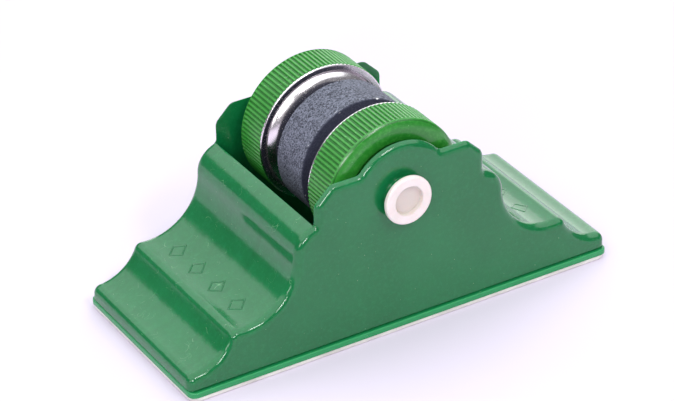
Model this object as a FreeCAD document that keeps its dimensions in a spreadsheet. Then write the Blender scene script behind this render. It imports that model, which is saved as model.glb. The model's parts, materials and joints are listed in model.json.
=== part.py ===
import FreeCAD, Part
import math
import os

import Sketcher

# Roller knife sharpener: a hollow green shell with two scalloped ramps and two upright ears.
# A roller of two knurled wheels, two chromed guide cups and one grinding stone turns between
# the ears on a hollow headed pin. Millimetres, +Z up, X along the length, Y along the axle,
# origin at the middle of the underside of the foot pad.

DIMENSIONS = {
    # foot pad and base plate
    "pad_length": 130.8, "pad_width": 56.5, "pad_thick": 1.4, "pad_corner": 2.4,
    "plate_length": 131.0, "plate_width": 56.7, "plate_thick": 1.5, "plate_corner": 2.2,
    "plate_edge_round": 0.4, "rim_thick": 1.2, "rim_height": 1.8, "rim_gap": 0.2,
    # shell: overall block, wall and the shadow gap above the plate
    "shell_length": 130.8, "shell_base_width": 54.8, "shell_draft": 0.15, "shell_wall": 2.0,
    "shadow_gap": 0.35, "shadow_depth": 0.25, "edge_round": 2.3,
    # ramp outline, heights above the top of the base plate
    "scallop_low_r": 12.7, "scallop_low_x": 64.0, "scallop_low_z": 17.1,
    "scallop_high_r": 15.9, "scallop_high_z": 29.2,
    "ridge_r": 2.5, "lip_r": 2.4, "crown_r": 8.0, "crown_x": 24.2, "crown_z": 28.8,
    # well between the ramps and the ears that flank it
    "well_length": 52.0, "well_width": 51.3,
    "ear_half_length": 26.0, "shoulder_z": 47.5, "shoulder_x": 21.0, "ear_chamfer_z": 42.6,
    "hump_r": 15.4, "hump_dip_r": 2.0, "ear_corner_r": 3.0, "ear_foot_r": 1.6,
    # axle
    "axle_z": 38.2, "axle_r": 4.5, "axle_bore_r": 4.55, "boss_r": 5.6, "boss_stand": 29.2,
    "boss_overlap": 0.2,
    "head_r": 7.0, "head_thick": 1.7, "head_round": 0.6, "recess_r": 4.2, "recess_depth": 1.3,
    "recess_draft": 0.2, "recess_round": 0.3,
    "socket_r": 2.5, "socket_depth": 12.0, "spigot_gap": 0.04, "spigot_length": 11.0,
    # roller
    "hub_r": 6.2, "hub_half": 22.9, "press_gap": 0.02,
    "stone_r": 18.2, "stone_half": 6.4, "stone_chamfer": 0.3,
    "wheel_r": 20.0, "wheel_inner_y": 12.7, "wheel_knurl_y": 22.3, "wheel_outer_y": 23.7,
    "wheel_face_r": 17.2, "wheel_shoulder_r": 3.5, "wheel_mouth_r": 14.2, "wheel_web_y": 19.0,
    "wheel_web_thick": 2.0, "wheel_rim_r": 17.2, "wheel_hub_r": 8.6, "wheel_hub_y": 22.8,
    "wheel_hub_inner_y": 13.4,
    "seat_r": 19.45, "seat_depth": 0.5,
    "knurl_count": 98, "knurl_depth": 0.42, "knurl_mouth": 0.86, "knurl_root": 0.3,
    "knurl_overrun": 0.5, "phase_far": 3.45, "phase_near": 1.14,
    "cup_lip_r": 19.85, "cup_seat_r": 19.4, "cup_lip_inner_r": 18.15, "cup_lip_y": 12.1, "cup_sheet": 0.6,
    "cup_dome_r": 5.0, "cup_steep": 60.0, "cup_flat": 10.0, "cup_dome_edge_r": 17.95,
    "cup_dome_edge_y": 12.65, "cup_step": 0.3, "cup_lip_round": 0.28,
    "spacer_r": 7.6, "spacer_thick": 2.6, "spacer_gap": 0.05,
    # screws from the plate into the shell
    "screw_x": 44.0, "screw_y": 17.0, "screw_r": 1.5, "screw_head_r": 2.7,
    "screw_head_thick": 1.3, "screw_length": 9.0, "screw_boss_r": 3.4, "plate_boss_r": 4.2,
    "plate_boss_height": 2.0, "screw_head_gap": 0.15,
    "drive_r": 1.05, "drive_depth": 0.8, "boss_seam": 0.05, "boss_roof": 1.2,
}

# how far a cutting shape runs past the solid, and how near counts as touching
CUT_MARGIN = 5.0
TOUCH = 0.01
# how far round the crown, in degrees, the space between the ears is cleared
CROWN_CUT_ANGLE = 30.0

doc = FreeCAD.newDocument("RollerSharpener")
sheet = doc.addObject("Spreadsheet::Sheet", "Sizes")
for row, (alias, number) in enumerate(DIMENSIONS.items(), start=1):
    sheet.set("A%d" % row, alias)
    sheet.set("B%d" % row, str(number))
    sheet.setAlias("B%d" % row, alias)
doc.recompute()


class Size:
    """A length or angle that knows its number and the sheet expression it comes from."""

    def __init__(self, number, text):
        self.number = float(number)
        self.text = text

    def _with(self, other, sign, number):
        right = other if isinstance(other, Size) else Size(other, repr(float(other)))
        return Size(number(self.number, right.number), "(%s %s %s)" % (self.text, sign, right.text))

    def __add__(self, other):
        return self._with(other, "+", lambda a, b: a + b)

    def __sub__(self, other):
        return self._with(other, "-", lambda a, b: a - b)

    def __mul__(self, other):
        return self._with(other, "*", lambda a, b: a * b)

    def __truediv__(self, other):
        return self._with(other, "/", lambda a, b: a / b)

    def __neg__(self):
        return Size(-self.number, "(0 - %s)" % self.text)


def cell(alias):
    """The named cell of the sheet as a Size."""
    return Size(sheet.get(alias), "%s.%s" % (sheet.Name, alias))


ZERO = Size(0, "0")
plate_top = cell("pad_thick") + cell("plate_thick")
axle_height = plate_top + cell("axle_z")
wall = cell("shell_wall")


# ---------------------------------------------------------------- sketch helpers

def new_body(label):
    body = doc.addObject("PartDesign::Body", label)
    body.Label = label
    return body


def sketch_on(body, role, name, offset=None):
    """An empty sketch on one of the body's origin planes, lifted by offset along its normal."""
    sketch = body.newObject("Sketcher::SketchObject", name)
    plane = next(item for item in body.Origin.OriginFeatures if item.Role == role)
    sketch.AttachmentSupport = [(plane, "")]
    sketch.MapMode = "FlatFace"
    if offset is not None:
        sketch.setExpression("AttachmentOffset.Base.z", offset.text)
    return sketch


def constrain(sketch, *terms, size):
    """Adds one dimensional constraint and binds it to the size's expression."""
    index = sketch.addConstraint(Sketcher.Constraint(*terms, size.number))
    sketch.setExpression("Constraints[%d]" % index, size.text)


def pin_point(sketch, item, end, x, y):
    """Holds one end of a sketch item at x, y measured from the sketch's origin."""
    for kind, axis, size in (("DistanceX", -2, x), ("DistanceY", -1, y)):
        if abs(size.number) < 1e-9:
            sketch.addConstraint(Sketcher.Constraint("PointOnObject", item, end, axis))
        else:
            constrain(sketch, kind, -1, 1, item, end, size=size)


def circle(sketch, x, y, radius):
    item = sketch.addGeometry(
        Part.Circle(FreeCAD.Vector(x.number, y.number, 0), FreeCAD.Vector(0, 0, 1), radius.number))
    constrain(sketch, "Radius", item, size=radius)
    pin_point(sketch, item, 3, x, y)


def arc_between(start, end, radius, turn):
    """An arc of a given radius from start to end; turn is +1 anticlockwise, -1 clockwise."""
    chord = end - start
    middle = (start + end) * 0.5
    rise = math.sqrt(max(radius ** 2 - (chord.Length / 2) ** 2, 0.0))
    side = FreeCAD.Vector(-chord.y, chord.x, 0).normalize()
    centre = middle + side * rise * turn
    first, last = (start, end) if turn > 0 else (end, start)
    angles = [math.atan2(p.y - centre.y, p.x - centre.x) for p in (first, last)]
    return Part.ArcOfCircle(Part.Circle(centre, FreeCAD.Vector(0, 0, 1), radius), *angles)


def outline(sketch, corners):
    """A closed outline. A corner is (x, y), or (x, y, radius, turn) where an arc leaves it."""
    points = [FreeCAD.Vector(corner[0].number, corner[1].number, 0) for corner in corners]
    ends = []
    for index, corner in enumerate(corners):
        start, end = points[index], points[(index + 1) % len(points)]
        if len(corner) == 2:
            item = sketch.addGeometry(Part.LineSegment(start, end))
            ends.append((item, 1, 2))
        else:
            radius, turn = corner[2], corner[3]
            item = sketch.addGeometry(arc_between(start, end, radius.number, turn))
            constrain(sketch, "Radius", item, size=radius)
            ends.append((item, 1, 2) if turn > 0 else (item, 2, 1))
    for index, corner in enumerate(corners):
        item, first, _ = ends[index]
        before, _, last = ends[index - 1]
        sketch.addConstraint(Sketcher.Constraint("Coincident", before, last, item, first))
        pin_point(sketch, item, first, corner[0], corner[1])


def rectangle(sketch, half_x, half_y):
    outline(sketch, [(-half_x, -half_y), (half_x, -half_y), (half_x, half_y), (-half_x, half_y)])


# ---------------------------------------------------------------- feature helpers

def volume_of(body):
    return body.Shape.Volume if body.Tip else 0.0


def check_change(body, feature, before, grows):
    """A pad that adds nothing or a pocket that cuts nothing is a modelling mistake."""
    change = feature.Shape.Volume - before
    if change * (1 if grows else -1) <= 0:
        raise RuntimeError("%s of %s changed the volume by %.3f" % (feature.Name, body.Label, change))


def extrude(body, kind, sketch, name, length=None, both=False, back=False):
    """A Pad or a Pocket. With no length it runs through all; both makes it symmetric."""
    before = volume_of(body)
    feature = body.newObject("PartDesign::" + kind, name)
    feature.Profile = sketch
    if length is None:
        feature.Type = "ThroughAll"
    else:
        feature.setExpression("Length", length.text)
    if both:
        feature.Midplane = True
    feature.Reversed = back
    sketch.Visibility = False
    doc.recompute()
    check_change(body, feature, before, kind == "Pad")
    return feature


def revolve(body, sketch, name):
    """A full turn about the sketch's vertical axis, which is the axle."""
    feature = body.newObject("PartDesign::Revolution", name)
    feature.Profile = sketch
    feature.ReferenceAxis = (sketch, ["V_Axis"])
    feature.Angle = 360.0
    doc.recompute()
    return feature


def mirror(body, features, role, name):
    """The same features again on the other side of one of the body's origin planes."""
    before = volume_of(body)
    plane = next(item for item in body.Origin.OriginFeatures if item.Role == role)
    feature = body.newObject("PartDesign::Mirrored", name)
    feature.Originals = features
    feature.MirrorPlane = (plane, [""])
    body.Tip = feature
    doc.recompute()
    if abs(feature.Shape.Volume - before) < 1e-3:
        raise RuntimeError("%s of %s mirrored nothing" % (name, body.Label))
    return feature


def pattern(body, features, name, count):
    """The same features repeated evenly about the body's Y axis."""
    axis = next(item for item in body.Origin.OriginFeatures if item.Role == "Y_Axis")
    feature = body.newObject("PartDesign::PolarPattern", name)
    feature.Originals = features
    feature.Axis = (axis, [""])
    feature.Angle = 360.0
    feature.setExpression("Occurrences", count.text)
    body.Tip = feature
    doc.recompute()
    return feature


def round_edges(body, name, size, wanted, kind="Fillet"):
    """Fillets or chamfers every edge of the body for which wanted(edge) is true."""
    base = body.Tip
    chosen = ["Edge%d" % index for index, edge in enumerate(base.Shape.Edges, start=1) if wanted(edge)]
    feature = body.newObject("PartDesign::" + kind, name)
    feature.Base = (base, chosen)
    feature.setExpression("Radius" if kind == "Fillet" else "Size", size.text)
    doc.recompute()
    return feature


def middle(edge):
    return edge.valueAt((edge.FirstParameter + edge.LastParameter) / 2)


def is_along(edge, direction):
    """True for a straight edge parallel to the direction."""
    if edge.Curve.TypeId != "Part::GeomLine":
        return False
    return abs(abs(edge.Curve.Direction.dot(FreeCAD.Vector(*direction))) - 1) < 1e-6


def on_circle(edge, radius, y):
    """True for a full circle about the Y axis with this radius at this height along Y."""
    if edge.Curve.TypeId != "Part::GeomCircle":
        return False
    return abs(edge.Curve.Radius - radius.number) < 1e-4 and abs(edge.Curve.Center.y - y.number) < 1e-4


def stand_on_axle(body, turn=0.0, flip=False):
    """Moves a body modelled about the Y axis up to the axle; flip swaps its two ends."""
    spin = FreeCAD.Rotation(FreeCAD.Vector(0, 1, 0), turn)
    facing = FreeCAD.Rotation(FreeCAD.Vector(0, 0, 1), 180 if flip else 0)
    body.Placement = FreeCAD.Placement(FreeCAD.Vector(0, 0, 0), spin.multiply(facing))
    body.setExpression("Placement.Base.z", axle_height.text)


# ---------------------------------------------------------------- foot pad and base plate

def make_foot_pad():
    """Foam sheet glued under the plate."""
    body = new_body("foot_pad")
    sketch = sketch_on(body, "XY_Plane", "pad_outline")
    rectangle(sketch, cell("pad_length") / 2, cell("pad_width") / 2)
    extrude(body, "Pad", sketch, "pad_sheet", cell("pad_thick"))
    round_edges(body, "pad_corners", cell("pad_corner"), lambda edge: is_along(edge, (0, 0, 1)))
    return body


def screw_places():
    return [(sx, sy) for sx in (1, -1) for sy in (1, -1)]


def screw_circles(sketch, radius):
    for sx, sy in screw_places():
        circle(sketch, cell("screw_x") * sx, cell("screw_y") * sy, radius)


def make_base_plate():
    """Flat plate with a rim that locates it inside the shell and four screw bosses."""
    body = new_body("base_plate")
    sketch = sketch_on(body, "XY_Plane", "plate_outline", cell("pad_thick"))
    rectangle(sketch, cell("plate_length") / 2, cell("plate_width") / 2)
    extrude(body, "Pad", sketch, "plate_sheet", cell("plate_thick"))
    round_edges(body, "plate_corners", cell("plate_corner"), lambda edge: is_along(edge, (0, 0, 1)))
    round_edges(body, "plate_edge", cell("plate_edge_round"),
                lambda edge: abs(middle(edge).z - plate_top.number) < 1e-6)
    rim = sketch_on(body, "XY_Plane", "rim_outline", plate_top)
    half_x = cell("shell_length") / 2 - wall - cell("rim_gap")
    half_y = cell("well_width") / 2 - cell("rim_gap")
    rectangle(rim, half_x, half_y)
    rectangle(rim, half_x - cell("rim_thick"), half_y - cell("rim_thick"))
    extrude(body, "Pad", rim, "rim", cell("rim_height"))
    bosses = sketch_on(body, "XY_Plane", "boss_outline", plate_top)
    screw_circles(bosses, cell("plate_boss_r"))
    extrude(body, "Pad", bosses, "bosses", cell("plate_boss_height"))
    heads = sketch_on(body, "XY_Plane", "head_seats", cell("pad_thick"))
    screw_circles(heads, cell("screw_head_r") + cell("screw_head_gap"))
    extrude(body, "Pocket", heads, "counterbores", cell("screw_head_thick") + cell("screw_head_gap"),
            back=True)
    holes = sketch_on(body, "XY_Plane", "screw_holes", cell("pad_thick"))
    screw_circles(holes, cell("screw_r") + cell("screw_head_gap"))
    extrude(body, "Pocket", holes, "clearance_holes", back=True)
    return body


def make_base_screws():
    """Four identical self-tapping screws, driven up into the shell's bosses."""
    body = new_body("base_screws")
    head_z = cell("pad_thick") + cell("screw_head_gap")
    heads = sketch_on(body, "XY_Plane", "head_circles", head_z)
    screw_circles(heads, cell("screw_head_r"))
    extrude(body, "Pad", heads, "heads", cell("screw_head_thick"))
    slots = sketch_on(body, "XY_Plane", "drive_circles", head_z)
    screw_circles(slots, cell("drive_r"))
    extrude(body, "Pocket", slots, "drives", cell("drive_depth"), back=True)
    shanks = sketch_on(body, "XY_Plane", "shank_circles", head_z + cell("screw_head_thick"))
    screw_circles(shanks, cell("screw_r"))
    extrude(body, "Pad", shanks, "shanks", cell("screw_length"))
    return body


# ---------------------------------------------------------------- shell

def ramp_points():
    """Centres and tangent points of the ramp's arcs, as plain numbers, on the +X side."""
    top = plate_top.number
    low = FreeCAD.Vector(cell("scallop_low_x").number, top + cell("scallop_low_z").number, 0)
    low_r = cell("scallop_low_r").number
    crown = FreeCAD.Vector(cell("crown_x").number, top + cell("crown_z").number, 0)
    crown_r = cell("crown_r").number
    high_r = cell("scallop_high_r").number
    rise = top + cell("scallop_high_z").number - crown.y
    high = crown + FreeCAD.Vector(math.sqrt((crown_r + high_r) ** 2 - rise ** 2), rise, 0)
    return low, low_r, high, high_r, crown, crown_r


def towards(start, end, distance):
    return start + (end - start).normalize() * distance


def ridge_centre(low, low_r, high, high_r, ridge_r):
    """Centre of the small round that touches both scallops from below."""
    reach_low, reach_high = low_r + ridge_r, high_r + ridge_r
    between = high - low
    along = (reach_low ** 2 - reach_high ** 2 + between.Length ** 2) / (2 * between.Length)
    across = math.sqrt(reach_low ** 2 - along ** 2)
    unit = between * (1 / between.Length)
    return low + unit * along + FreeCAD.Vector(-unit.y, unit.x, 0) * across


def arc_about(centre, radius, start, end):
    """Anticlockwise arc about a centre between the directions of two points."""
    angles = [math.atan2(p.y - centre.y, p.x - centre.x) for p in (start, end)]
    return Part.ArcOfCircle(Part.Circle(centre, FreeCAD.Vector(0, 0, 1), radius), *angles)


def silhouette_sketch(body):
    """Everything to be cut away outside the +X half of the side view."""
    sketch = sketch_on(body, "XZ_Plane", "silhouette")
    add = sketch.addGeometry
    low, low_r, high, high_r, crown, crown_r = ramp_points()
    ridge_r, lip_r, hump_r = (cell(name).number for name in ("ridge_r", "lip_r", "hump_r"))
    ridge = ridge_centre(low, low_r, high, high_r, ridge_r)
    end_x = cell("shell_length").number / 2
    lip_x = end_x - lip_r
    lip = FreeCAD.Vector(lip_x, low.y - math.sqrt((low_r + lip_r) ** 2 - (lip_x - low.x) ** 2), 0)
    axle = FreeCAD.Vector(0, axle_height.number, 0)
    hump_top = axle + FreeCAD.Vector(0, hump_r, 0)
    shoulder = plate_top.number + cell("shoulder_z").number
    ear_x = cell("ear_half_length").number
    dip = FreeCAD.Vector(math.sqrt(hump_r ** 2 - (shoulder - axle.y) ** 2), shoulder, 0)
    shoulder_end = FreeCAD.Vector(cell("shoulder_x").number, shoulder, 0)
    chamfer_end = FreeCAD.Vector(ear_x, plate_top.number + cell("ear_chamfer_z").number, 0)
    ear_foot = FreeCAD.Vector(ear_x, crown.y + math.sqrt(crown_r ** 2 - (ear_x - crown.x) ** 2), 0)
    crown_end = towards(crown, high, crown_r)
    ridge_high, ridge_low = towards(ridge, high, ridge_r), towards(ridge, low, ridge_r)
    lip_start = towards(lip, low, lip_r)
    lip_end = FreeCAD.Vector(end_x, lip.y, 0)
    floor = FreeCAD.Vector(end_x, plate_top.number - CUT_MARGIN, 0)
    floor_out = FreeCAD.Vector(end_x + CUT_MARGIN, floor.y, 0)
    sky_out = FreeCAD.Vector(floor_out.x, hump_top.y + CUT_MARGIN, 0)
    sky_in = FreeCAD.Vector(0, sky_out.y, 0)
    hump = add(arc_about(axle, hump_r, dip, hump_top))
    shoulder_line = add(Part.LineSegment(dip, shoulder_end))
    chamfer = add(Part.LineSegment(shoulder_end, chamfer_end))
    ear_end = add(Part.LineSegment(chamfer_end, ear_foot))
    crown_arc = add(arc_about(crown, crown_r, crown_end, ear_foot))
    high_arc = add(arc_about(high, high_r, crown_end, ridge_high))
    ridge_arc = add(arc_about(ridge, ridge_r, ridge_low, ridge_high))
    low_arc = add(arc_about(low, low_r, ridge_low, lip_start))
    lip_arc = add(arc_about(lip, lip_r, lip_end, lip_start))
    end_line = add(Part.LineSegment(lip_end, floor))
    floor_line = add(Part.LineSegment(floor, floor_out))
    out_line = add(Part.LineSegment(floor_out, sky_out))
    sky_line = add(Part.LineSegment(sky_out, sky_in))
    close_line = add(Part.LineSegment(sky_in, hump_top))
    for joint in (
        ("Coincident", hump, 1, shoulder_line, 1), ("Coincident", shoulder_line, 2, chamfer, 1),
        ("Coincident", chamfer, 2, ear_end, 1), ("Coincident", ear_end, 2, crown_arc, 2),
        ("Tangent", crown_arc, 1, high_arc, 1), ("Tangent", high_arc, 2, ridge_arc, 2),
        ("Tangent", ridge_arc, 1, low_arc, 1), ("Tangent", low_arc, 2, lip_arc, 2),
        ("Tangent", lip_arc, 1, end_line, 1), ("Coincident", end_line, 2, floor_line, 1),
        ("Coincident", floor_line, 2, out_line, 1), ("Coincident", out_line, 2, sky_line, 1),
        ("Coincident", sky_line, 2, close_line, 1), ("Coincident", close_line, 2, hump, 2),
        ("Vertical", ear_end), ("Vertical", end_line), ("Vertical", out_line),
        ("Vertical", close_line), ("Horizontal", shoulder_line), ("Horizontal", floor_line),
        ("Horizontal", sky_line),
    ):
        sketch.addConstraint(Sketcher.Constraint(*joint))
    for item, name in ((hump, "hump_r"), (crown_arc, "crown_r"), (high_arc, "scallop_high_r"),
                       (ridge_arc, "ridge_r"), (low_arc, "scallop_low_r"), (lip_arc, "lip_r")):
        constrain(sketch, "Radius", item, size=cell(name))
    pin_point(sketch, hump, 3, ZERO, axle_height)
    pin_point(sketch, crown_arc, 3, cell("crown_x"), plate_top + cell("crown_z"))
    pin_point(sketch, low_arc, 3, cell("scallop_low_x"), plate_top + cell("scallop_low_z"))
    constrain(sketch, "DistanceY", -1, 1, high_arc, 3, size=plate_top + cell("scallop_high_z"))
    pin_point(sketch, chamfer, 1, cell("shoulder_x"), plate_top + cell("shoulder_z"))
    pin_point(sketch, chamfer, 2, cell("ear_half_length"), plate_top + cell("ear_chamfer_z"))
    constrain(sketch, "DistanceX", -1, 1, end_line, 1, size=cell("shell_length") / 2)
    constrain(sketch, "DistanceY", -1, 1, floor_line, 1, size=plate_top - CUT_MARGIN)
    constrain(sketch, "DistanceX", -1, 1, out_line, 1, size=cell("shell_length") / 2 + CUT_MARGIN)
    constrain(sketch, "DistanceY", -1, 1, sky_line, 1, size=axle_height + cell("hump_r") + CUT_MARGIN)
    sketch.addConstraint(Sketcher.Constraint("PointOnObject", close_line, 2, -2))
    return sketch


def cavity_sketch(body):
    """The +X half of the hollow under the ramps, one wall inside the silhouette."""
    sketch = sketch_on(body, "XZ_Plane", "cavity")
    add = sketch.addGeometry
    thick = wall.number
    low, low_r, high, high_r, crown, crown_r = ramp_points()
    peak = ridge_centre(low, low_r + thick, high, high_r + thick, 0.0)
    end_x = cell("shell_length").number / 2 - thick
    end_top = FreeCAD.Vector(end_x, low.y - math.sqrt((low_r + thick) ** 2 - (end_x - low.x) ** 2), 0)
    crown_end = towards(crown, high, crown_r - thick)
    crown_top = crown + FreeCAD.Vector(0, crown_r - thick, 0)
    ceiling = FreeCAD.Vector(0, crown_top.y, 0)
    floor_in = FreeCAD.Vector(0, plate_top.number - CUT_MARGIN, 0)
    floor_out = FreeCAD.Vector(end_x, floor_in.y, 0)
    crown_arc = add(arc_about(crown, crown_r - thick, crown_end, crown_top))
    high_arc = add(arc_about(high, high_r + thick, crown_end, peak))
    low_arc = add(arc_about(low, low_r + thick, peak, end_top))
    end_line = add(Part.LineSegment(end_top, floor_out))
    floor_line = add(Part.LineSegment(floor_out, floor_in))
    middle_line = add(Part.LineSegment(floor_in, ceiling))
    top_line = add(Part.LineSegment(ceiling, crown_top))
    for joint in (
        ("Tangent", crown_arc, 1, high_arc, 1), ("Coincident", high_arc, 2, low_arc, 1),
        ("Coincident", low_arc, 2, end_line, 1), ("Coincident", end_line, 2, floor_line, 1),
        ("Coincident", floor_line, 2, middle_line, 1), ("Coincident", middle_line, 2, top_line, 1),
        ("Tangent", top_line, 2, crown_arc, 2), ("Vertical", end_line), ("Vertical", middle_line),
        ("Horizontal", floor_line), ("Horizontal", top_line),
    ):
        sketch.addConstraint(Sketcher.Constraint(*joint))
    constrain(sketch, "Radius", crown_arc, size=cell("crown_r") - wall)
    constrain(sketch, "Radius", high_arc, size=cell("scallop_high_r") + wall)
    constrain(sketch, "Radius", low_arc, size=cell("scallop_low_r") + wall)
    pin_point(sketch, crown_arc, 3, cell("crown_x"), plate_top + cell("crown_z"))
    pin_point(sketch, low_arc, 3, cell("scallop_low_x"), plate_top + cell("scallop_low_z"))
    constrain(sketch, "DistanceY", -1, 1, high_arc, 3, size=plate_top + cell("scallop_high_z"))
    constrain(sketch, "DistanceX", -1, 1, end_line, 1, size=cell("shell_length") / 2 - wall)
    constrain(sketch, "DistanceY", -1, 1, floor_line, 1, size=plate_top - CUT_MARGIN)
    sketch.addConstraint(Sketcher.Constraint("PointOnObject", floor_line, 2, -2))
    return sketch


def make_body_shell():
    """Hollow moulding: drafted block, cut to the ramps and ears, rounded, then hollowed."""
    body = new_body("body_shell")
    full_height = axle_height + cell("hump_r") + CUT_MARGIN
    lean = math.tan(math.radians(cell("shell_draft").number))
    base_half = cell("shell_base_width") / 2
    top_half = base_half - (full_height - plate_top) * lean
    section = sketch_on(body, "YZ_Plane", "drafted_section")
    outline(section, [(-base_half, plate_top), (base_half, plate_top),
                      (top_half, full_height), (-top_half, full_height)])
    extrude(body, "Pad", section, "block", cell("shell_length"), both=True)
    cut = extrude(body, "Pocket", silhouette_sketch(body), "ramp_cut", both=True)
    mirror(body, [cut], "YZ_Plane", "ramp_cut_mirrored")
    shoulder_top = plate_top.number + cell("shoulder_z").number
    dip_x = math.sqrt(cell("hump_r").number ** 2 - (shoulder_top - axle_height.number) ** 2)
    round_edges(body, "dip_rounds", cell("hump_dip_r"),
                lambda edge: is_along(edge, (0, 1, 0)) and abs(abs(middle(edge).x) - dip_x) < TOUCH)
    round_edges(body, "ear_rounds", cell("ear_corner_r"),
                lambda edge: is_along(edge, (0, 1, 0)) and (
                    abs(abs(middle(edge).x) - cell("shoulder_x").number) < TOUCH
                    or (abs(abs(middle(edge).x) - cell("ear_half_length").number) < TOUCH
                        and middle(edge).z > axle_height.number)))
    round_edges(body, "ear_feet", cell("ear_foot_r"),
                lambda edge: is_along(edge, (0, 1, 0))
                and abs(abs(middle(edge).x) - cell("ear_half_length").number) < TOUCH)

    def is_long_edge(edge):
        """True for the side faces' outline edges above the plate."""
        at = middle(edge)
        side = base_half.number - (at.z - plate_top.number) * lean
        return abs(abs(at.y) - side) < 2 * TOUCH and at.z > plate_top.number + TOUCH

    round_edges(body, "long_edges", cell("edge_round"), is_long_edge)
    return body


def hollow_body_shell(body):
    """Hollows the rounded block and adds its bosses and holes."""
    inner = extrude(body, "Pocket", cavity_sketch(body), "hollow", cell("well_width"), both=True)
    mirror(body, [inner], "YZ_Plane", "hollow_mirrored")
    well = sketch_on(body, "XY_Plane", "well_outline")
    rectangle(well, cell("well_length") / 2, cell("well_width") / 2)
    extrude(body, "Pocket", well, "well", back=True)
    between = sketch_on(body, "XZ_Plane", "between_ears_outline")
    crown_top = plate_top + cell("crown_z") + cell("crown_r")
    cut_end = math.radians(CROWN_CUT_ANGLE)
    end_x = cell("crown_x") + cell("crown_r") * math.sin(cut_end)
    end_z = plate_top + cell("crown_z") + cell("crown_r") * math.cos(cut_end)
    outline(between, [(cell("crown_x"), crown_top, cell("crown_r"), -1), (end_x, end_z),
                      (end_x, crown_top + CUT_MARGIN), (cell("crown_x"), crown_top + CUT_MARGIN)])
    cut = extrude(body, "Pocket", between, "between_ears", cell("well_width"), both=True)
    mirror(body, [cut], "YZ_Plane", "between_ears_mirrored")
    gap = sketch_on(body, "XY_Plane", "shadow_ring", plate_top)
    out_x, out_y = cell("shell_length") / 2 + CUT_MARGIN, cell("shell_base_width") / 2 + CUT_MARGIN
    rectangle(gap, out_x, out_y)
    rectangle(gap, cell("shell_length") / 2 - cell("shadow_depth"),
              cell("shell_base_width") / 2 - cell("shadow_depth"))
    extrude(body, "Pocket", gap, "shadow_gap", cell("shadow_gap"), back=True)
    boss_z = plate_top + cell("plate_boss_height") + cell("boss_seam")
    bosses = sketch_on(body, "XY_Plane", "screw_boss_circles", boss_z)
    screw_circles(bosses, cell("screw_boss_r"))
    extrude(body, "Pad", bosses, "screw_bosses", cell("screw_length") + cell("boss_roof"))
    pilots = sketch_on(body, "XY_Plane", "pilot_circles", boss_z)
    screw_circles(pilots, cell("screw_r") + cell("press_gap"))
    extrude(body, "Pocket", pilots, "pilot_holes", cell("screw_length"), back=True)
    root_y = cell("well_width") / 2 + cell("boss_overlap")
    boss = sketch_on(body, "XZ_Plane", "axle_boss_circle", root_y)
    circle(boss, ZERO, axle_height, cell("boss_r"))
    near = extrude(body, "Pad", boss, "axle_boss", cell("boss_stand") - root_y)
    mirror(body, [near], "XZ_Plane", "axle_boss_far")
    hole = sketch_on(body, "XZ_Plane", "axle_hole_circle")
    circle(hole, ZERO, axle_height, cell("axle_r") + cell("press_gap"))
    extrude(body, "Pocket", hole, "axle_holes", both=True)
    return body


# ---------------------------------------------------------------- axle

def make_axle_pin():
    """Headed pin from the near side; its far end is a socket for the cap's spigot."""
    body = new_body("axle_pin")
    head_y = -(cell("boss_stand") + cell("head_thick"))
    floor_y = head_y + cell("recess_depth")
    tip_y = cell("boss_stand") - cell("press_gap")
    sketch = sketch_on(body, "XY_Plane", "pin_section")
    outline(sketch, [
        (ZERO, floor_y), (cell("recess_r") - cell("recess_draft"), floor_y), (cell("recess_r"), head_y),
        (cell("head_r"), head_y), (cell("head_r"), -cell("boss_stand")),
        (cell("axle_r"), -cell("boss_stand")), (cell("axle_r"), tip_y), (cell("socket_r"), tip_y),
        (cell("socket_r"), tip_y - cell("socket_depth")), (ZERO, tip_y - cell("socket_depth"))])
    revolve(body, sketch, "pin")
    round_edges(body, "head_round", cell("head_round"),
                lambda edge: on_circle(edge, cell("head_r"), head_y) or
                on_circle(edge, cell("head_r"), -cell("boss_stand")))
    round_edges(body, "recess_round", cell("recess_round"),
                lambda edge: on_circle(edge, cell("recess_r"), head_y))
    stand_on_axle(body)
    return body


def make_axle_cap():
    """Matching head on the far side, its spigot pressed into the pin."""
    body = new_body("axle_cap")
    head_y = cell("boss_stand") + cell("head_thick")
    floor_y = head_y - cell("recess_depth")
    spigot = cell("socket_r") - cell("spigot_gap")
    sketch = sketch_on(body, "XY_Plane", "cap_section")
    outline(sketch, [
        (ZERO, floor_y), (ZERO, cell("boss_stand") - cell("spigot_length")),
        (spigot, cell("boss_stand") - cell("spigot_length")), (spigot, cell("boss_stand")),
        (cell("head_r"), cell("boss_stand")), (cell("head_r"), head_y), (cell("recess_r"), head_y),
        (cell("recess_r") - cell("recess_draft"), floor_y)])
    revolve(body, sketch, "cap")
    round_edges(body, "head_round_far", cell("head_round"),
                lambda edge: on_circle(edge, cell("head_r"), head_y) or
                on_circle(edge, cell("head_r"), cell("boss_stand")))
    stand_on_axle(body)
    return body


def make_spacer(label, flip):
    """Plain ring on the pin that keeps a wheel off the ear."""
    body = new_body(label)
    outer_y = cell("well_width") / 2 - cell("spacer_gap")
    inner_y = outer_y - cell("spacer_thick")
    sketch = sketch_on(body, "XY_Plane", label + "_section")
    outline(sketch, [
        (cell("axle_bore_r"), inner_y), (cell("spacer_r"), inner_y),
        (cell("spacer_r"), outer_y), (cell("axle_bore_r"), outer_y)])
    revolve(body, sketch, label + "_ring")
    stand_on_axle(body, flip=flip)
    return body


# ---------------------------------------------------------------- roller

def make_hub_tube():
    """Sleeve that carries stone, cups and wheels and runs on the pin."""
    body = new_body("hub_tube")
    sketch = sketch_on(body, "XY_Plane", "hub_section")
    half = cell("hub_half")
    outline(sketch, [(cell("axle_bore_r"), -half), (cell("hub_r"), -half),
                     (cell("hub_r"), half), (cell("axle_bore_r"), half)])
    revolve(body, sketch, "hub")
    stand_on_axle(body)
    return body


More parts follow.
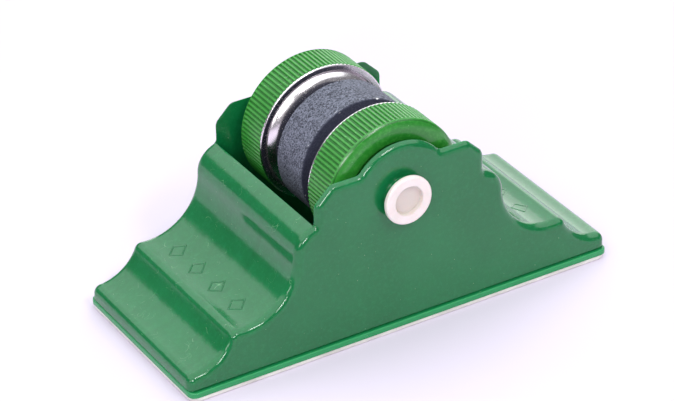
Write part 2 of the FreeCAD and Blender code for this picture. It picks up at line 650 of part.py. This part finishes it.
def make_stone_drum():
    """Grinding stone: a thick disc with flat flanks and a fine edge break."""
    body = new_body("stone_drum")
    sketch = sketch_on(body, "XY_Plane", "stone_section")
    half, bore = cell("stone_half"), cell("hub_r") + cell("press_gap")
    outline(sketch, [(bore, -half), (cell("stone_r"), -half), (cell("stone_r"), half), (bore, half)])
    revolve(body, sketch, "stone")
    round_edges(body, "stone_edges", cell("stone_chamfer"),
                lambda edge: on_circle(edge, cell("stone_r"), half)
                or on_circle(edge, cell("stone_r"), -half), kind="Chamfer")
    stand_on_axle(body)
    return body


def make_cup(label, flip):
    """Pressed and chromed guide cup: lip lapped over the wheel, small step, then a dome towards the stone."""
    body = new_body(label)
    sheet_t, dome_r = cell("cup_sheet"), cell("cup_dome_r")
    steep, flat = (math.radians(cell(name).number) for name in ("cup_steep", "cup_flat"))
    centre_r = cell("cup_dome_edge_r") - dome_r * math.sin(steep)
    centre_y = cell("cup_dome_edge_y") + dome_r * math.cos(steep)
    inner_r = dome_r - sheet_t
    bore = cell("hub_r") + cell("press_gap")
    back_y = cell("wheel_inner_y") + cell("seat_depth")
    front_r, front_y = centre_r + dome_r * math.sin(flat), centre_y - dome_r * math.cos(flat)
    rear_r, rear_y = centre_r + inner_r * math.sin(flat), centre_y - inner_r * math.cos(flat)
    slope = math.tan(flat)
    sketch = sketch_on(body, "XY_Plane", label + "_section")
    outline(sketch, [
        (bore, front_y - (front_r - bore) * slope),
        (front_r, front_y, dome_r, 1),
        (cell("cup_dome_edge_r"), cell("cup_dome_edge_y")),
        (cell("cup_dome_edge_r"), cell("cup_dome_edge_y") + cell("cup_step")),
        (cell("cup_lip_inner_r"), cell("cup_dome_edge_y") + cell("cup_step")),
        (cell("cup_lip_inner_r"), cell("cup_lip_y")),
        (cell("cup_lip_r"), cell("cup_lip_y")),
        (cell("cup_lip_r"), cell("wheel_inner_y")),
        (cell("cup_seat_r"), cell("wheel_inner_y")),
        (cell("cup_seat_r"), back_y),
        (centre_r + inner_r * math.sin(steep), back_y),
        (centre_r + inner_r * math.sin(steep), centre_y - inner_r * math.cos(steep), inner_r, -1),
        (rear_r, rear_y),
        (bore, rear_y - (rear_r - bore) * slope)])
    revolve(body, sketch, label + "_pressing")
    round_edges(body, label + "_lip_round", cell("cup_lip_round"),
                lambda edge: on_circle(edge, cell("cup_lip_r"), cell("cup_lip_y"))
                or on_circle(edge, cell("cup_lip_inner_r"), cell("cup_lip_y")))
    stand_on_axle(body, flip=flip)
    return body


def make_wheel(label, phase, flip):
    """Knurled wheel: ribbed rim, rounded outer shoulder, open outer face, seat for the cup."""
    body = new_body(label)
    bore = cell("hub_r") + cell("press_gap")
    web_inner = cell("wheel_web_y") - cell("wheel_web_thick")
    seat_y = cell("wheel_inner_y") + cell("seat_depth")
    sketch = sketch_on(body, "XY_Plane", label + "_section")
    outline(sketch, [
        (bore, cell("wheel_hub_inner_y")), (cell("wheel_hub_r"), cell("wheel_hub_inner_y")),
        (cell("wheel_hub_r"), web_inner), (cell("wheel_rim_r"), web_inner),
        (cell("wheel_rim_r"), seat_y), (cell("seat_r"), seat_y),
        (cell("seat_r"), cell("wheel_inner_y")), (cell("wheel_r"), cell("wheel_inner_y")),
        (cell("wheel_r"), cell("wheel_knurl_y"), cell("wheel_shoulder_r"), 1),
        (cell("wheel_face_r"), cell("wheel_outer_y")), (cell("wheel_mouth_r"), cell("wheel_outer_y")),
        (cell("wheel_mouth_r"), cell("wheel_web_y")), (cell("wheel_hub_r"), cell("wheel_web_y")),
        (cell("wheel_hub_r"), cell("wheel_hub_y")), (bore, cell("wheel_hub_y"))])
    revolve(body, sketch, label + "_blank")
    start_y = cell("wheel_inner_y") - cell("knurl_overrun")
    notch = sketch_on(body, "XZ_Plane", label + "_notch", -start_y)
    root = cell("wheel_r") - cell("knurl_depth")
    above = cell("wheel_r") + cell("knurl_overrun")
    outline(notch, [
        (-cell("knurl_root") / 2, root), (cell("knurl_root") / 2, root),
        (cell("knurl_mouth") / 2, cell("wheel_r")), (cell("knurl_mouth") / 2, above),
        (-cell("knurl_mouth") / 2, above), (-cell("knurl_mouth") / 2, cell("wheel_r"))])
    length = cell("wheel_knurl_y") - start_y
    groove = extrude(body, "Pocket", notch, label + "_groove", length)
    pattern(body, [groove], label + "_knurl", cell("knurl_count"))
    stand_on_axle(body, turn=phase.number, flip=flip)
    return body


# ---------------------------------------------------------------- build, check and write

pieces = [
    hollow_body_shell(make_body_shell()), make_base_plate(), make_base_screws(), make_foot_pad(),
    make_axle_pin(), make_axle_cap(), make_spacer("spacer_far", False),
    make_spacer("spacer_near", True), make_hub_tube(), make_stone_drum(),
    make_cup("guide_cup_far", False), make_cup("guide_cup_near", True),
    make_wheel("wheel_far", cell("phase_far"), False),
    make_wheel("wheel_near", cell("phase_near"), True),
]
doc.recompute()
for item in doc.Objects:
    if "Invalid" in item.State or "Error" in item.State:
        raise RuntimeError("%s failed: %s" % (item.Label, item.State))
os.makedirs("parts", exist_ok=True)
for piece in pieces:
    shape = piece.Shape
    if shape.isNull() or not shape.isValid():
        raise RuntimeError("%s has no valid shape" % piece.Label)
    shape.exportStep("parts/%s.step" % piece.Label)
    box = shape.BoundBox
    print("%-16s %2d solid(s) %9.1f mm3  %6.2f x %6.2f x %6.2f" % (
        piece.Label, len(shape.Solids), shape.Volume, box.XLength, box.YLength, box.ZLength))
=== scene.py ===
import json
import math

import bmesh
import bpy
from mathutils import Matrix, Quaternion, Vector, noise
from mathutils.bvhtree import BVHTree


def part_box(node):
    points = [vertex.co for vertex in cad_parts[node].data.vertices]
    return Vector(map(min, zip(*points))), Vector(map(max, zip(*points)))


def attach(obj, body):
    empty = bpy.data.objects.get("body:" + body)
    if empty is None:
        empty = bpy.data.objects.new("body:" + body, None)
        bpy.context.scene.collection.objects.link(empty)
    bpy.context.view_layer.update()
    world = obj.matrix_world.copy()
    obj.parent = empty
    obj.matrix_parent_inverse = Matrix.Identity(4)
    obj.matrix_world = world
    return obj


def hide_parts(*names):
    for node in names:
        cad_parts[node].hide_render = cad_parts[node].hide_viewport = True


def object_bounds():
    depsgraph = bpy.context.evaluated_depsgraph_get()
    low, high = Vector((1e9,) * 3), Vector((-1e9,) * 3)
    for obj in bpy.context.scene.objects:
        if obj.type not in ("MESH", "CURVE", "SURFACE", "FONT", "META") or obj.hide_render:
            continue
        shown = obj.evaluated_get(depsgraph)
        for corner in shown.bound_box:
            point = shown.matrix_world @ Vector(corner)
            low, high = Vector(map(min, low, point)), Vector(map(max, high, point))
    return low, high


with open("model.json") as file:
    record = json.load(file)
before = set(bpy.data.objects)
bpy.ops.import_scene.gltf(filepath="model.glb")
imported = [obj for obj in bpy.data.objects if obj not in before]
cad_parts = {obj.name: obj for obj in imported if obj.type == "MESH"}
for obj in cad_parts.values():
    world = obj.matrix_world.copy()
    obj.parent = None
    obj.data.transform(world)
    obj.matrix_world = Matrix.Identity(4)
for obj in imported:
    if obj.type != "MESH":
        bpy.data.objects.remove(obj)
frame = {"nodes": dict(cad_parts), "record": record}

# Looks of a roller knife sharpener. Metres, +Z up, X along the length, Y along the axle.

MM = 0.001
cad_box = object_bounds()
NODES = frame["nodes"]
STONE_LOW, STONE_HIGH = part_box("stone_drum")
WHEEL_LOW, WHEEL_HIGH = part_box("wheel_near")
AXLE = (STONE_LOW + STONE_HIGH) / 2
WHEEL_R = (WHEEL_HIGH.z - WHEEL_LOW.z) / 2
STONE_R = (STONE_HIGH.z - STONE_LOW.z) / 2
STONE_HALF = (STONE_HIGH.y - STONE_LOW.y) / 2
SHELL_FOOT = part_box("body_shell")[0].z


# ---------------------------------------------------------------- procedural materials

class Surface:
    """A material being built: most calls add nodes and give back the socket that they end in."""

    def __init__(self, name, **constants):
        self.material = bpy.data.materials.new(name)
        self.material.use_nodes = True
        self.tree = self.material.node_tree
        self.shader = self.tree.nodes["Principled BSDF"]
        for socket, value in constants.items():
            self.shader.inputs[socket.replace("_", " ")].default_value = value

    def add(self, kind, inputs=(), output=0, **settings):
        node = self.tree.nodes.new("ShaderNode" + kind)
        for name, value in settings.items():
            setattr(node, name, value)
        for key, value in dict(inputs).items():
            if isinstance(value, bpy.types.NodeSocket):
                self.tree.links.new(value, node.inputs[key])
            else:
                node.inputs[key].default_value = value
        return node.outputs[output]

    def place(self, centre=(0, 0, 0), stretch=(1, 1, 1)):
        """The point's place on the part, counted from a centre and stretched along X, Y and Z."""
        here = self.add("TexCoord", output="Object")
        moved = self.add("VectorMath", {0: here, 1: centre}, operation="SUBTRACT")
        return self.add("VectorMath", {0: moved, 1: stretch}, operation="MULTIPLY")

    def split(self, vector):
        node = self.add("SeparateXYZ", {0: vector}).node
        return node.outputs[0], node.outputs[1], node.outputs[2]

    def maths(self, operation, *values):
        return self.add("Math", dict(enumerate(values)), operation=operation)

    def radius(self):
        """Distance from the axle."""
        x, _, z = self.split(self.place(AXLE))
        squares = self.maths("MULTIPLY", x, x), self.maths("MULTIPLY", z, z)
        return self.maths("SQRT", self.maths("ADD", *squares))

    def noise(self, place, size, detail=3.0, rough=0.55):
        """Cloudy noise whose features are about one size across."""
        settings = {"Vector": place, "Scale": 1 / size, "Detail": detail, "Roughness": rough}
        return self.add("TexNoise", settings)

    def cells(self, place, size, output="Distance"):
        return self.add("TexVoronoi", {"Vector": place, "Scale": 1 / size}, output=output)

    def between(self, value, low, high, to_low=0.0, to_high=1.0):
        return self.add("MapRange", {0: value, 1: low, 2: high, 3: to_low, 4: to_high})

    def mix(self, factor, first, second):
        """Colour that goes from first to second."""
        return self.add("Mix", {0: factor, 6: first, 7: second}, output=2, data_type="RGBA")

    def bump(self, height, depth, under=None):
        inputs = {"Height": height, "Distance": depth}
        if under is not None:
            inputs["Normal"] = under
        return self.add("Bump", inputs)

    def edge_normal(self, radius):
        """The normal as if every sharp edge had a small round."""
        return self.add("Bevel", {"Radius": radius}, samples=6)

    def finish(self, colour, rough, normal=None):
        for socket, value in (("Base Color", colour), ("Roughness", rough), ("Normal", normal)):
            if value is not None:
                self.tree.links.new(value, self.shader.inputs[socket])
        return self.material


def rgb(red, green, blue):
    return red, green, blue, 1.0


def scaled(colour, factor):
    """The colour made darker or lighter."""
    return rgb(*[channel * factor for channel in colour[:3]])


def knurl_light_and_shade(skin, colour, base, light):
    """Painted highlight on the knurling's crests, partly rub wear, and painted shade in its roots, told apart
    by distance from the axle.
    """
    reach = skin.radius()
    painted_crest_light = skin.between(reach, WHEEL_R - 0.2 * MM, WHEEL_R, 0.0, 0.6)
    above_root = skin.between(reach, WHEEL_R - 0.45 * MM, WHEEL_R - 0.25 * MM)
    outside = skin.between(reach, WHEEL_R - 0.6 * MM, WHEEL_R - 0.5 * MM)
    painted_root_shade = skin.maths("MULTIPLY", outside, skin.maths("SUBTRACT", 1.0, above_root))
    # painted highlight: the crests are made lighter, partly standing for rub wear
    colour = skin.mix(painted_crest_light, colour, light)
    # painted shade: the roots between the ribs are made darker
    return skin.mix(skin.maths("MULTIPLY", painted_root_shade, 0.6), colour, scaled(base, 0.3))


def fine_scratches(skin, here):
    """A mask of short thin scratches in three directions, on faces that look up in the world."""
    upward = skin.split(skin.add("NewGeometry", output=1))[2]
    worn = skin.between(upward, 0.15, 0.5)
    half_width = 0.0016
    scratch = 0.0
    for turn, size in ((0.5, 11 * MM), (2.1, 8 * MM), (2.9, 14 * MM)):
        turned = skin.add("VectorRotate", {"Vector": here, "Axis": (0, 0, 1), "Angle": turn})
        line = skin.noise(turned, size, detail=2.0)
        off_middle = skin.maths("ABSOLUTE", skin.maths("SUBTRACT", line, 0.5))
        scratch = skin.maths("MAXIMUM", skin.between(off_middle, half_width, 0.0), scratch)
    broken = skin.between(skin.noise(here, size=3 * MM, detail=2.0), 0.55, 0.62)
    return skin.maths("MULTIPLY", skin.maths("MULTIPLY", scratch, broken), worn)


def moulded_green(name, base, light, least_rough, knurled=False):
    """Injection moulded plastic: mottled colour, flow streaks, dust, scratches and orange peel."""
    skin = Surface(name, IOR=1.56, Subsurface_Weight=0.25, Subsurface_Scale=2.5 * MM,
                   Subsurface_Radius=(0.25, 1.0, 0.35))
    here = skin.place()
    clouds = skin.noise(here, size=22 * MM, detail=4.0)
    colour = skin.mix(skin.between(clouds, 0.35, 0.7, 0.0, 0.55), base, light)
    mottle = skin.noise(here, size=1.3 * MM, detail=5.0, rough=0.75)
    colour = skin.mix(skin.between(mottle, 0.48, 0.7, 0.0, 0.9), colour, light)
    streaks = skin.noise(skin.place(stretch=(1, 6, 1)), size=30 * MM, detail=2.0)
    colour = skin.mix(skin.between(streaks, 0.5, 0.75, 0.0, 0.3), colour, scaled(base, 0.7))

    # painted light: the plate under the shell's foot is made a lighter green, standing in for the light on
    # its rim
    height = skin.split(here)[2]
    painted_plate_light = skin.between(height, SHELL_FOOT + 0.05 * MM, SHELL_FOOT - 0.05 * MM)
    colour = skin.mix(skin.maths("MULTIPLY", painted_plate_light, 0.8), colour, scaled(light, 1.7))
    if knurled:
        colour = knurl_light_and_shade(skin, colour, base, light)

    specks = skin.between(skin.cells(here, size=2.6 * MM), 0.05, 0.02)
    colour = skin.mix(skin.maths("MULTIPLY", specks, 0.55), colour, rgb(0.30, 0.52, 0.30))
    scratches = fine_scratches(skin, here)
    colour = skin.mix(skin.maths("MULTIPLY", scratches, 0.55), colour, rgb(0.24, 0.50, 0.27))

    scuffs = skin.noise(skin.place(stretch=(1, 9, 9)), size=9 * MM, detail=5.0, rough=0.7)
    smears = skin.noise(here, size=14 * MM, detail=4.0)
    rough = skin.between(smears, 0.3, 0.75, least_rough, least_rough + 0.08)
    rough = skin.maths("ADD", rough, skin.between(scuffs, 0.60, 0.78, 0.0, 0.07))
    rough = skin.maths("ADD", rough, skin.maths("MULTIPLY", specks, 0.3))
    orange_peel = skin.noise(here, size=5 * MM, detail=2.0)
    normal = skin.bump(orange_peel, 0.05 * MM, skin.edge_normal(0.22 * MM))
    normal = skin.bump(mottle, 0.02 * MM, normal)
    return skin.finish(colour, rough, normal)


def grinding_stone():
    """Bonded grit: grains of uneven tone, a few painted glints, painted shade on the flanks and bright flecks
    at the rim.
    """
    skin = Surface("grinding_stone", IOR=1.6)
    here = skin.place(AXLE)
    tone = skin.add("SeparateColor", {0: skin.cells(here, 0.34 * MM, "Color")})
    fine = skin.noise(here, size=0.22 * MM, detail=3.0, rough=0.7)
    grey = skin.maths("MULTIPLY_ADD", fine, 0.9, skin.maths("MULTIPLY", tone, 0.7))
    colour = skin.mix(skin.between(grey, 0.48, 1.1), rgb(0.005, 0.007, 0.022), rgb(0.20, 0.212, 0.28))
    worn = skin.noise(skin.place(AXLE, (1, 3, 1)), size=7 * MM, detail=4.0)
    colour = skin.mix(skin.between(worn, 0.45, 0.75, 0.0, 0.2), colour, rgb(0.13, 0.14, 0.19))
    # painted glints: sparse bright flecks painted into the colour of the grit
    painted_glints = skin.between(skin.cells(here, 1.1 * MM), 0.10, 0.06)
    colour = skin.mix(skin.maths("MULTIPLY", painted_glints, 0.5), colour, rgb(0.62, 0.63, 0.68))
    _, along, _ = skin.split(here)
    # painted shade: the stone's flanks, facing the wheels, are made dark navy
    painted_flank_shade = skin.between(skin.maths("ABSOLUTE", along), STONE_HALF - 0.35 * MM, STONE_HALF - 0.05 * MM)
    colour = skin.mix(skin.maths("MULTIPLY", painted_flank_shade, 0.9), colour, rgb(0.006, 0.008, 0.032))
    rim = skin.between(skin.maths("ABSOLUTE", along), STONE_HALF - 0.8 * MM, STONE_HALF - 0.3 * MM)
    outside = skin.between(skin.radius(), STONE_R - 0.6 * MM, STONE_R - 0.35 * MM)
    rim = skin.maths("MULTIPLY", rim, outside)
    # bright flecks scattered along the outer edge of the flanks
    rim_flecks = skin.between(skin.noise(here, size=2.2 * MM, detail=2.0), 0.66, 0.70)
    colour = skin.mix(skin.maths("MULTIPLY", rim, rim_flecks), colour, rgb(0.85, 0.85, 0.86))
    rough = skin.between(fine, 0.3, 0.7, 0.62, 0.92)
    height = skin.maths("ADD", skin.cells(here, 0.3 * MM), fine)
    return skin.finish(colour, rough, skin.bump(height, 0.16 * MM))


def chrome_cup():
    """Bright chrome on a pressing: fine turning lines, smudges and a little grit dust."""
    skin = Surface("chrome_cup", Metallic=1.0)
    here = skin.place(AXLE)
    rings = skin.add("TexNoise", {"Scale": 9000.0, "Detail": 2.0, "W": skin.radius()}, noise_dimensions="1D")
    smudge = skin.noise(here, size=5 * MM, detail=5.0, rough=0.65)
    dust = skin.between(skin.noise(here, size=0.5 * MM, detail=3.0, rough=0.7), 0.60, 0.72)
    colour = skin.mix(skin.between(smudge, 0.35, 0.75), rgb(0.90, 0.85, 0.88), rgb(0.76, 0.72, 0.75))
    colour = skin.mix(skin.maths("MULTIPLY", dust, 0.35), colour, rgb(0.25, 0.25, 0.28))
    rough = skin.between(smudge, 0.3, 0.8, 0.17, 0.30)
    rough = skin.maths("MULTIPLY_ADD", dust, 0.15, rough)
    normal = skin.bump(rings, 0.002 * MM)
    return skin.finish(colour, rough, skin.bump(skin.noise(here, size=4 * MM, detail=2.0), 0.03 * MM, normal))


def white_plastic():
    """Off-white nylon, with painted shade inside the hollow of the head."""
    skin = Surface("white_pin", IOR=1.53, Subsurface_Weight=0.15, Subsurface_Scale=0.6 * MM)
    here = skin.place(AXLE)
    clouds = skin.noise(here, size=3.5 * MM, detail=5.0, rough=0.6)
    colour = skin.mix(skin.between(clouds, 0.35, 0.7), rgb(0.84, 0.75, 0.73), rgb(0.78, 0.69, 0.66))
    # painted shade: the hollow of the head is made darker
    painted_hollow_shade = skin.between(skin.radius(), 4.6 * MM, 4.0 * MM)
    colour = skin.mix(skin.maths("MULTIPLY", painted_hollow_shade, 0.75), colour, rgb(0.58, 0.51, 0.45))
    specks = skin.between(skin.cells(here, 1.7 * MM), 0.07, 0.03)
    colour = skin.mix(skin.maths("MULTIPLY", specks, 0.4), colour, rgb(0.35, 0.3, 0.25))
    rough = skin.between(clouds, 0.3, 0.75, 0.32, 0.48)
    normal = skin.bump(clouds, 0.05 * MM, skin.edge_normal(0.2 * MM))
    return skin.finish(colour, rough, skin.bump(skin.noise(here, size=0.4 * MM), 0.008 * MM, normal))


def foam_sheet():
    """Closed-cell foam: tiny cells, soft grey soiling from the bench."""
    skin = Surface("foam_pad", IOR=1.35, Sheen_Weight=0.15)
    here = skin.place()
    cell_size = 0.45 * MM
    soil = skin.noise(here, size=9 * MM, detail=5.0, rough=0.6)
    colour = skin.mix(skin.between(soil, 0.4, 0.72), rgb(0.80, 0.78, 0.74), rgb(0.60, 0.58, 0.55))
    pores = skin.cells(here, cell_size)
    colour = skin.mix(skin.between(pores, 0.0, 0.35, 0.25, 0.0), colour, rgb(0.42, 0.41, 0.42))
    rough = skin.between(pores, 0.0, 0.6, 0.8, 0.95)
    return skin.finish(colour, rough, skin.bump(pores, 0.10 * MM))


def plated_steel():
    """Zinc plated screws with a faint yellow cast and turning marks."""
    skin = Surface("screw_steel", Metallic=1.0)
    here = skin.place(stretch=(1, 1, 4))
    cast = skin.noise(here, size=1.2 * MM, detail=4.0)
    colour = skin.mix(cast, rgb(0.62, 0.61, 0.58), rgb(0.48, 0.48, 0.50))
    rough = skin.between(cast, 0.3, 0.7, 0.25, 0.45)
    return skin.finish(colour, rough, skin.bump(skin.noise(here, size=0.2 * MM), 0.01 * MM))


def paint_nodes():
    """Gives every CAD node its detailed material, and gives back the materials by slot."""
    shell_green = moulded_green("green_shell", base=rgb(0.003, 0.136, 0.038),
                                light=rgb(0.008, 0.178, 0.056), least_rough=0.06)
    wheel_green = moulded_green("green_wheel", base=rgb(0.010, 0.180, 0.014),
                                light=rgb(0.050, 0.31, 0.042), least_rough=0.20, knurled=True)
    hub_green = moulded_green("hub_plastic", base=rgb(0.010, 0.13, 0.030),
                              light=rgb(0.016, 0.18, 0.04), least_rough=0.4)
    finishes = {
        "green_shell": shell_green, "green_wheel": wheel_green, "hub_plastic": hub_green,
        "grinding_stone": grinding_stone(), "chrome_cup": chrome_cup(), "white_pin": white_plastic(),
        "foam_pad": foam_sheet(), "screw_steel": plated_steel(),
    }
    for part in frame["record"]["subparts"]:
        node = NODES[part["node"]]
        node.data.materials.clear()
        node.data.materials.append(finishes[part["material_slot"]])
    return finishes


# ---------------------------------------------------------------- pieces made here

def new_piece(name, mesh, material, body):
    """Turns a bmesh into a smooth shaded piece that rides on a body."""
    mesh.normal_update()
    data = bpy.data.meshes.new(name)
    mesh.to_mesh(data)
    mesh.free()
    for face in data.polygons:
        face.use_smooth = True
    data.materials.append(material)
    piece = bpy.data.objects.new(name, data)
    bpy.context.scene.collection.objects.link(piece)
    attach(piece, body)
    return piece


def rounded_loop(half_x, half_y, corner, steps=12, pitch=2 * MM):
    """Points round a rectangle with round corners, with extra points along its sides."""
    places = []
    quarters = ((1, 1, 0), (-1, 1, 90), (-1, -1, 180), (1, -1, 270))
    for sign_x, sign_y, start in quarters:
        centre = Vector((sign_x * (half_x - corner), sign_y * (half_y - corner)))
        for step in range(steps + 1):
            turn = math.radians(start + 90 * step / steps)
            places.append(centre + corner * Vector((math.cos(turn), math.sin(turn))))
    loop = []
    for index, here in enumerate(places):
        after = places[(index + 1) % len(places)]
        count = max(1, round((after - here).length / pitch))
        loop += [here.lerp(after, step / count) for step in range(count)]
    return loop


def make_foam_pad(material):
    """The pad as a cut foam sheet: softly crowned edges with a slight wobble, flat where it rests."""
    low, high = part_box("foot_pad")
    half_x, half_y, thick = high.x, high.y, high.z - low.z
    corner = 3 * MM
    wobble_size, wobble_depth, wobble_layer = 6 * MM, 0.16 * MM, 4 * MM
    # inset from the outline and height, going from the top face round the edge to the bottom
    section = ((1.5 * MM, 1.0), (0.35 * MM, 1.0), (0.12 * MM, 0.90), (0.03 * MM, 0.66), (0.0, 0.40),
               (0.06 * MM, 0.16), (0.22 * MM, 0.03), (0.6 * MM, 0.0), (1.5 * MM, 0.0))
    mesh = bmesh.new()
    rings = []
    for inset, share in section:
        ring = []
        for point in rounded_loop(half_x - inset, half_y - inset, corner - inset):
            place = Vector((point.x, point.y, share * wobble_layer)) / wobble_size
            wobble = noise.noise(place) * 0.5 + 0.5
            pull = 1 - wobble * wobble_depth / point.length if share < 1 else 1
            ring.append(mesh.verts.new((point.x * pull, point.y * pull, low.z + thick * share)))
        rings.append(ring)
    for upper, lower in zip(rings, rings[1:]):
        for index in range(len(upper)):
            after = (index + 1) % len(upper)
            mesh.faces.new((upper[index], lower[index], lower[after], upper[after]))
    mesh.faces.new(rings[0])
    mesh.faces.new(reversed(rings[-1]))
    bmesh.ops.recalc_face_normals(mesh, faces=mesh.faces)
    pad = new_piece("foam_foot_pad", mesh, material, "base")
    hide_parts("foot_pad")


def make_grip_marks(side, material):
    """Four plain raised diamonds across the upper scallop of one ramp, laid on its curved face."""
    shell = NODES["body_shell"]
    faces = BVHTree.FromPolygons([v.co for v in shell.data.vertices],
                                 [p.vertices for p in shell.data.polygons])
    count, row_x, spacing = 4, 44.4 * MM, 10.6 * MM
    reach, band, slope = 2.9 * MM, 0.62 * MM, 0.2 * MM
    proud, sunk = 0.09 * MM, 0.06 * MM
    side_steps = 8
    above = cad_box[1].z
    mesh = bmesh.new()
    for number in range(count):
        middle = Vector((side * row_x, (number - (count - 1) / 2) * spacing))
        loops = []
        for size, rise in ((reach, -sunk), (reach - slope, proud),
                           (reach - band, proud), (reach - band - slope, -sunk)):
            corners = [Vector((size, 0)), Vector((0, size)), Vector((-size, 0)), Vector((0, -size))]
            loop = []
            for index, corner in enumerate(corners):
                after = corners[(index + 1) % len(corners)]
                for step in range(side_steps):
                    flat = middle + corner.lerp(after, step / side_steps)
                    hit, normal, _, _ = faces.ray_cast(Vector((flat.x, flat.y, above)), Vector((0, 0, -1)))
                    up = normal if normal.z > 0 else -normal
                    loop.append(mesh.verts.new(hit + up * rise))
            loops.append(loop)
        for first, second in zip(loops, loops[1:] + loops[:1]):
            for index in range(len(first)):
                after = (index + 1) % len(first)
                mesh.faces.new((first[index], first[after], second[after], second[index]))
    bmesh.ops.recalc_face_normals(mesh, faces=mesh.faces)
    name = "grip_marks_left" if side < 0 else "grip_marks_right"
    new_piece(name, mesh, material, "base")


# ---------------------------------------------------------------- stage, light and camera

def make_floor():
    """A wide pale floor; its tint is faintly violet."""
    bpy.ops.mesh.primitive_plane_add(size=12)
    floor = bpy.context.object
    floor.name = "floor"
    paper = Surface("floor_paper", IOR=1.3, Specular_IOR_Level=0.1)
    here = paper.place()
    colour = paper.mix(paper.noise(here, size=0.5), rgb(0.70, 0.625, 0.745), rgb(0.71, 0.635, 0.75))
    rough = paper.between(paper.noise(here, size=0.05), 0.3, 0.7, 0.8, 0.9)
    floor.data.materials.append(paper.finish(colour, rough))


def area_light(name, place, aim, width, height, glow, colour=(1, 1, 1), tilt=0.0):
    """A rectangular lamp. Its power grows with glow and with its area; tilt turns it, in degrees."""
    data = bpy.data.lights.new(name, "AREA")
    data.shape = "RECTANGLE"
    data.size, data.size_y = width, height
    data.energy = glow * math.pi * width * height
    data.color = colour
    lamp = bpy.data.objects.new(name, data)
    bpy.context.scene.collection.objects.link(lamp)
    lamp.location = place
    facing = (Vector(aim) - Vector(place)).to_track_quat("-Z", "Y")
    lamp.rotation_euler = (facing @ Quaternion((0, 0, 1), math.radians(tilt))).to_euler()


def make_lights():
    """Overhead softbox, a bright wall at the right back, two small edge lamps and two weak fills."""
    area_light("overhead", place=(0.0, 0.40, 1.1), aim=(0.0, 0.40, 0.0),
               width=3.6, height=2.9, glow=1.55, colour=(0.95, 1.0, 1.0))
    area_light("right_wall", place=(1.5, 1.6, 0.45), aim=(0, 0, 0.2), width=2.4, height=1.1, glow=2.1)
    area_light("front_high", place=(0.10, -0.75, 0.90), aim=(0, 0, 0),
               width=0.42, height=0.09, glow=26.0, tilt=30)
    area_light("front_left", place=(-0.62, -0.80, 0.52), aim=(0, 0, 0),
               width=0.42, height=0.09, glow=26.0, tilt=30)
    area_light("left_fill", place=(-1.4, -0.5, 0.5), aim=(0, 0.02, 0.05),
               width=0.35, height=0.35, glow=5.0)
    area_light("front_fill", place=(0.5, -1.7, 0.35), aim=(0, 0, 0.02),
               width=1.4, height=0.6, glow=0.8, colour=(0.93, 0.96, 1.0))
    world = bpy.data.worlds.new("studio")
    world.use_nodes = True
    background = world.node_tree.nodes["Background"]
    background.inputs["Color"].default_value = rgb(0.9, 0.9, 0.95)
    background.inputs["Strength"].default_value = 0.22
    bpy.context.scene.world = world
    bpy.context.scene.view_settings.view_transform = "Standard"


def make_camera():
    """Looks down at the near left end from an azimuth and an elevation, with a slight roll."""
    azimuth, elevation, roll = (math.radians(angle) for angle in (-30.39, 31.21, -1.54))
    target = Vector((-3.74, 0.09, 26.87)) * MM
    distance = 888 * MM
    back = Vector((math.sin(azimuth) * math.cos(elevation), -math.cos(azimuth) * math.cos(elevation),
                   math.sin(elevation)))
    data = bpy.data.cameras.new("camera")
    data.sensor_width, data.lens = 36.0, 176.6
    data.clip_start, data.clip_end = 0.01, 50.0
    camera = bpy.data.objects.new("camera", data)
    bpy.context.scene.collection.objects.link(camera)
    facing = (-back).to_track_quat("-Z", "Y").to_matrix().to_4x4()
    place = Matrix.Translation(target + back * distance)
    camera.matrix_world = place @ facing @ Matrix.Rotation(roll, 4, "Z")
    bpy.context.scene.camera = camera


materials = paint_nodes()
make_foam_pad(materials["foam_pad"])
for ramp_side in (-1, 1):
    make_grip_marks(ramp_side, materials["green_shell"])
make_floor()
make_lights()
make_camera()
